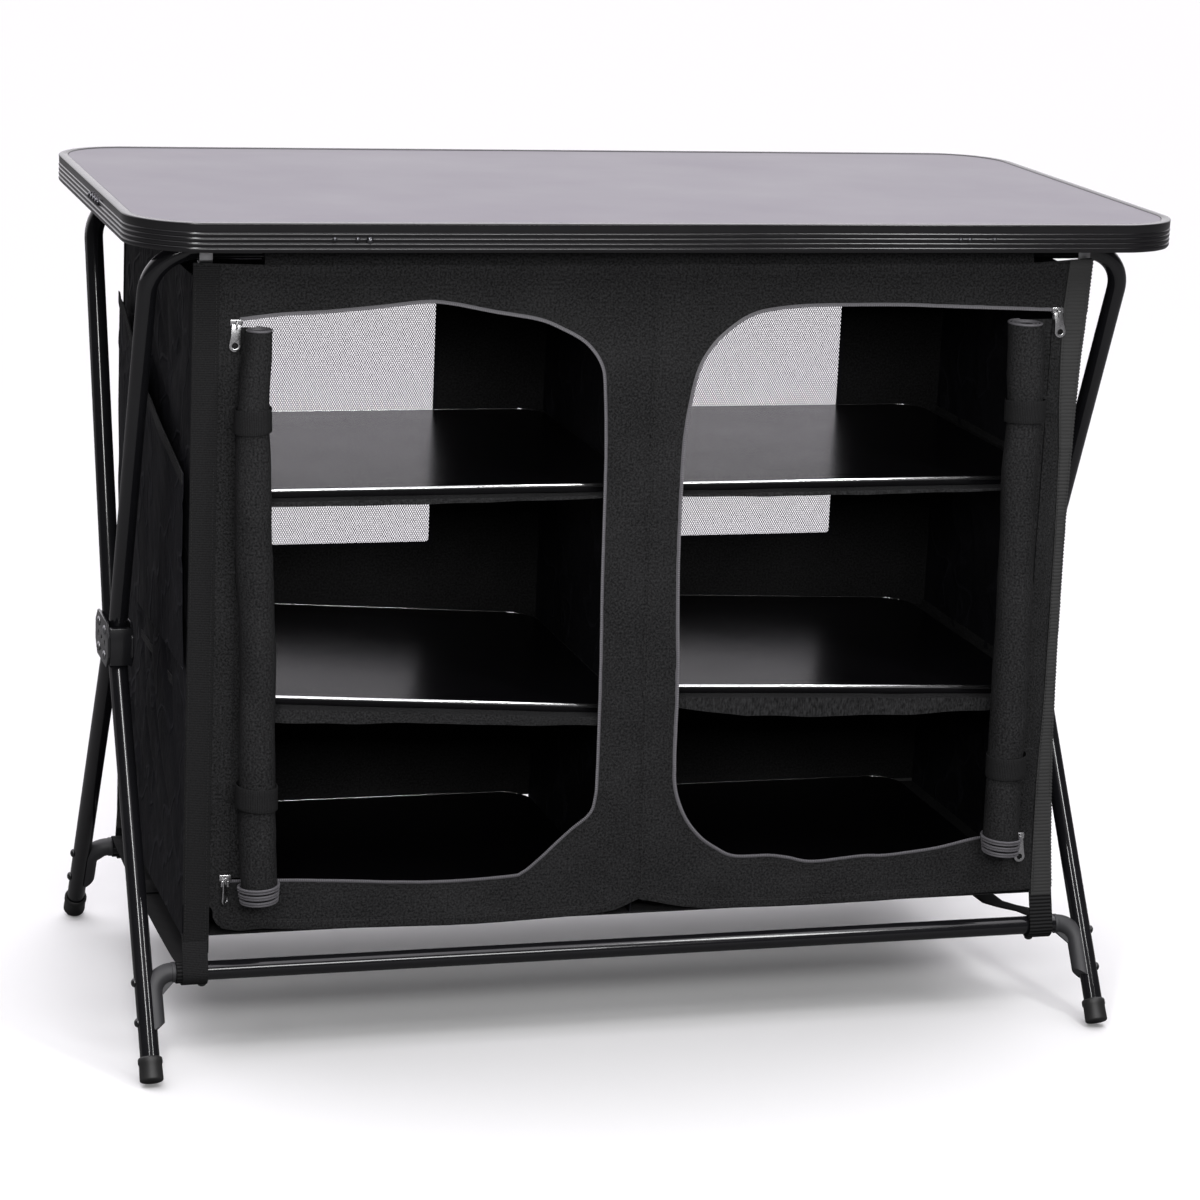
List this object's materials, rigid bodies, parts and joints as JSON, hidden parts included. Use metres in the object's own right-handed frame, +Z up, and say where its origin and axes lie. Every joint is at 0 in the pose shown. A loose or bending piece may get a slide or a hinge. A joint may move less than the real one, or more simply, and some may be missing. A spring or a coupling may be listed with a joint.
{
  "type": "camping cupboard",
  "caption": "Folding camping cupboard: rimmed worktop on a hinged tube frame with a hanging fabric cabinet, roll-up zip doors, shelf boards, mesh windows and a side pocket.",
  "frame": {"origin": "on the floor under the middle of the worktop", "axes": "+X along the worktop to the user's right, +Y from the doors to the back, +Z up"},
  "size_m": [1.0012, 0.5212, 0.8],
  "materials": {
    "worktop": "satin laminate, dark lilac grey",
    "trim": "black anodised extrusion with bright rib edges",
    "tube": "gloss black powder coat",
    "hub": "satin black",
    "elbow": "matte dark grey",
    "rubber": "matte black",
    "clip": "bare bent sheet",
    "cloth": "coarse woven charcoal polyester",
    "nylon": "thin smooth black nylon",
    "webbing": "napped black webbing",
    "zip_tape": "grey coil zip",
    "board": "black satin laminate with a bright metal edge",
    "zip_metal": "bright zip pull"
  },
  "bodies": {
    "hubs": {"left_hub_inner_plate": "hub", "left_hub_outer_plate": "hub", "right_hub_inner_plate": "hub", "right_hub_outer_plate": "hub"},
    "front_upper_frame": {"front_upper_tube": "tube", "front_hanging_flap": "cloth"},
    "rear_upper_frame": {"rear_upper_tube": "tube", "rear_hanging_flap": "cloth"},
    "front_lower_frame": {"front_crossbar": "tube", "front_left_leg": "tube", "front_left_elbow": "elbow", "front_left_foot": "rubber", "front_left_lower_strap": "webbing", "front_right_leg": "tube", "front_right_elbow": "elbow", "front_right_foot": "rubber", "front_right_lower_strap": "webbing"},
    "rear_lower_frame": {"rear_crossbar": "tube", "rear_left_leg": "tube", "rear_left_elbow": "elbow", "rear_left_foot": "rubber", "rear_left_lower_strap": "webbing", "rear_right_leg": "tube", "rear_right_elbow": "elbow", "rear_right_foot": "rubber", "rear_right_lower_strap": "webbing"},
    "table_top": {"table_panel": "worktop", "table_trim": "trim", "front_left_clip": "clip", "front_right_clip": "clip", "rear_left_clip": "clip", "rear_right_clip": "clip"},
    "bag": {"left_wall": "nylon", "right_wall": "nylon", "rear_wall": "cloth", "divider": "nylon", "bag_floor": "nylon", "middle_left_deck": "nylon", "middle_right_deck": "nylon", "upper_left_deck": "nylon", "upper_right_deck": "nylon", "side_pocket": "nylon"},
    "bag_front": {"front_wall": "cloth", "left_door_roll": "cloth", "right_door_roll": "cloth", "left_door_zip": "zip_tape", "right_door_zip": "zip_tape"},
    "tie_straps": {"left_tie_strap": "webbing", "right_tie_strap": "webbing"},
    "lower_left_board": {"lower_left_board": "board"},
    "lower_right_board": {"lower_right_board": "board"},
    "middle_left_board": {"middle_left_board": "board"},
    "middle_right_board": {"middle_right_board": "board"},
    "upper_left_board": {"upper_left_board": "board"},
    "upper_right_board": {"upper_right_board": "board"},
    "lower_left_pull": {"lower_left_pull": "zip_metal"},
    "lower_right_pull": {"lower_right_pull": "zip_metal"},
    "upper_left_pull": {"upper_left_pull": "zip_metal"},
    "upper_right_pull": {"upper_right_pull": "zip_metal"}
  },
  "joints": [
    {"name": "frame_fold", "type": "hinge", "parent": "hubs", "child": "front_upper_frame", "pos_m": [0, -0.0175, 0.375], "axis": [-1, 0, 0], "range_deg": [0, 21.95]},
    {"name": "rear_upper_fold", "type": "hinge", "parent": "hubs", "child": "rear_upper_frame", "pos_m": [0, 0.0175, 0.375], "axis": [1, 0, 0], "range_deg": [0, 21.95]},
    {"name": "front_lower_fold", "type": "hinge", "parent": "hubs", "child": "front_lower_frame", "pos_m": [0, -0.0175, 0.35], "axis": [1, 0, 0], "range_deg": [0, 33.67]},
    {"name": "rear_lower_fold", "type": "hinge", "parent": "hubs", "child": "rear_lower_frame", "pos_m": [0, 0.0175, 0.35], "axis": [-1, 0, 0], "range_deg": [0, 33.67]},
    {"name": "table_lift", "type": "slide", "parent": "hubs", "child": "table_top", "axis": [0, 0, 1], "range_m": [0, 0.0634]},
    {"name": "bag_lift", "type": "slide", "parent": "hubs", "child": "bag", "axis": [0, 0, 1], "range_m": [0, 0.0306]},
    {"name": "bag_gather", "type": "slide", "parent": "bag", "child": "bag_front", "axis": [0, 1, 0], "range_m": [0, 0.168], "deforming": ["front_wall", "left_door_roll", "right_door_roll", "left_door_zip", "right_door_zip"]},
    {"name": "tie_drop", "type": "slide", "parent": "hubs", "child": "tie_straps", "axis": [0, 0, -1], "range_m": [0, 0.0526], "deforming": ["left_tie_strap", "right_tie_strap"]},
    {"name": "lower_left_board_slide", "type": "slide", "parent": "bag", "child": "lower_left_board", "axis": [0, -1, 0], "range_m": [0, 0.4105]},
    {"name": "lower_right_board_slide", "type": "slide", "parent": "bag", "child": "lower_right_board", "axis": [0, -1, 0], "range_m": [0, 0.4105]},
    {"name": "middle_left_board_slide", "type": "slide", "parent": "bag", "child": "middle_left_board", "axis": [0, -1, 0], "range_m": [0, 0.4105]},
    {"name": "middle_right_board_slide", "type": "slide", "parent": "bag", "child": "middle_right_board", "axis": [0, -1, 0], "range_m": [0, 0.4105]},
    {"name": "upper_left_board_slide", "type": "slide", "parent": "bag", "child": "upper_left_board", "axis": [0, -1, 0], "range_m": [0, 0.4105]},
    {"name": "upper_right_board_slide", "type": "slide", "parent": "bag", "child": "upper_right_board", "axis": [0, -1, 0], "range_m": [0, 0.4105]},
    {"name": "lower_left_pull_swing", "type": "hinge", "parent": "bag_front", "child": "lower_left_pull", "pos_m": [-0.3958, -0.1958, 0.178], "axis": [-1, 0, 0], "range_deg": [0, 150]},
    {"name": "lower_right_pull_swing", "type": "hinge", "parent": "bag_front", "child": "lower_right_pull", "pos_m": [0.3958, -0.1958, 0.182], "axis": [-1, 0, 0], "range_deg": [0, 150]},
    {"name": "upper_left_pull_swing", "type": "hinge", "parent": "bag_front", "child": "upper_left_pull", "pos_m": [-0.3958, -0.1958, 0.6985], "axis": [-1, 0, 0], "range_deg": [0, 150]},
    {"name": "upper_right_pull_swing", "type": "hinge", "parent": "bag_front", "child": "upper_right_pull", "pos_m": [0.3958, -0.1958, 0.706], "axis": [-1, 0, 0], "range_deg": [0, 150]}
  ],
  "couplings": [
    {"joint": "rear_upper_fold", "follows": "frame_fold", "ratio": 1},
    {"joint": "front_lower_fold", "follows": "frame_fold", "ratio": 1.5335},
    {"joint": "rear_lower_fold", "follows": "frame_fold", "ratio": 1.5335},
    {"joint": "table_lift", "follows": "frame_fold", "m_per_rad": 0.165},
    {"joint": "bag_lift", "follows": "frame_fold", "m_per_rad": 0.0795},
    {"joint": "bag_gather", "follows": "frame_fold", "m_per_rad": 0.4376},
    {"joint": "tie_drop", "follows": "frame_fold", "m_per_rad": 0.1368},
    {"joint": "lower_left_board_slide", "follows": "frame_fold", "m_per_rad": 1.07},
    {"joint": "lower_right_board_slide", "follows": "frame_fold", "m_per_rad": 1.07},
    {"joint": "middle_left_board_slide", "follows": "frame_fold", "m_per_rad": 1.07},
    {"joint": "middle_right_board_slide", "follows": "frame_fold", "m_per_rad": 1.07},
    {"joint": "upper_left_board_slide", "follows": "frame_fold", "m_per_rad": 1.07},
    {"joint": "upper_right_board_slide", "follows": "frame_fold", "m_per_rad": 1.07}
  ]
}
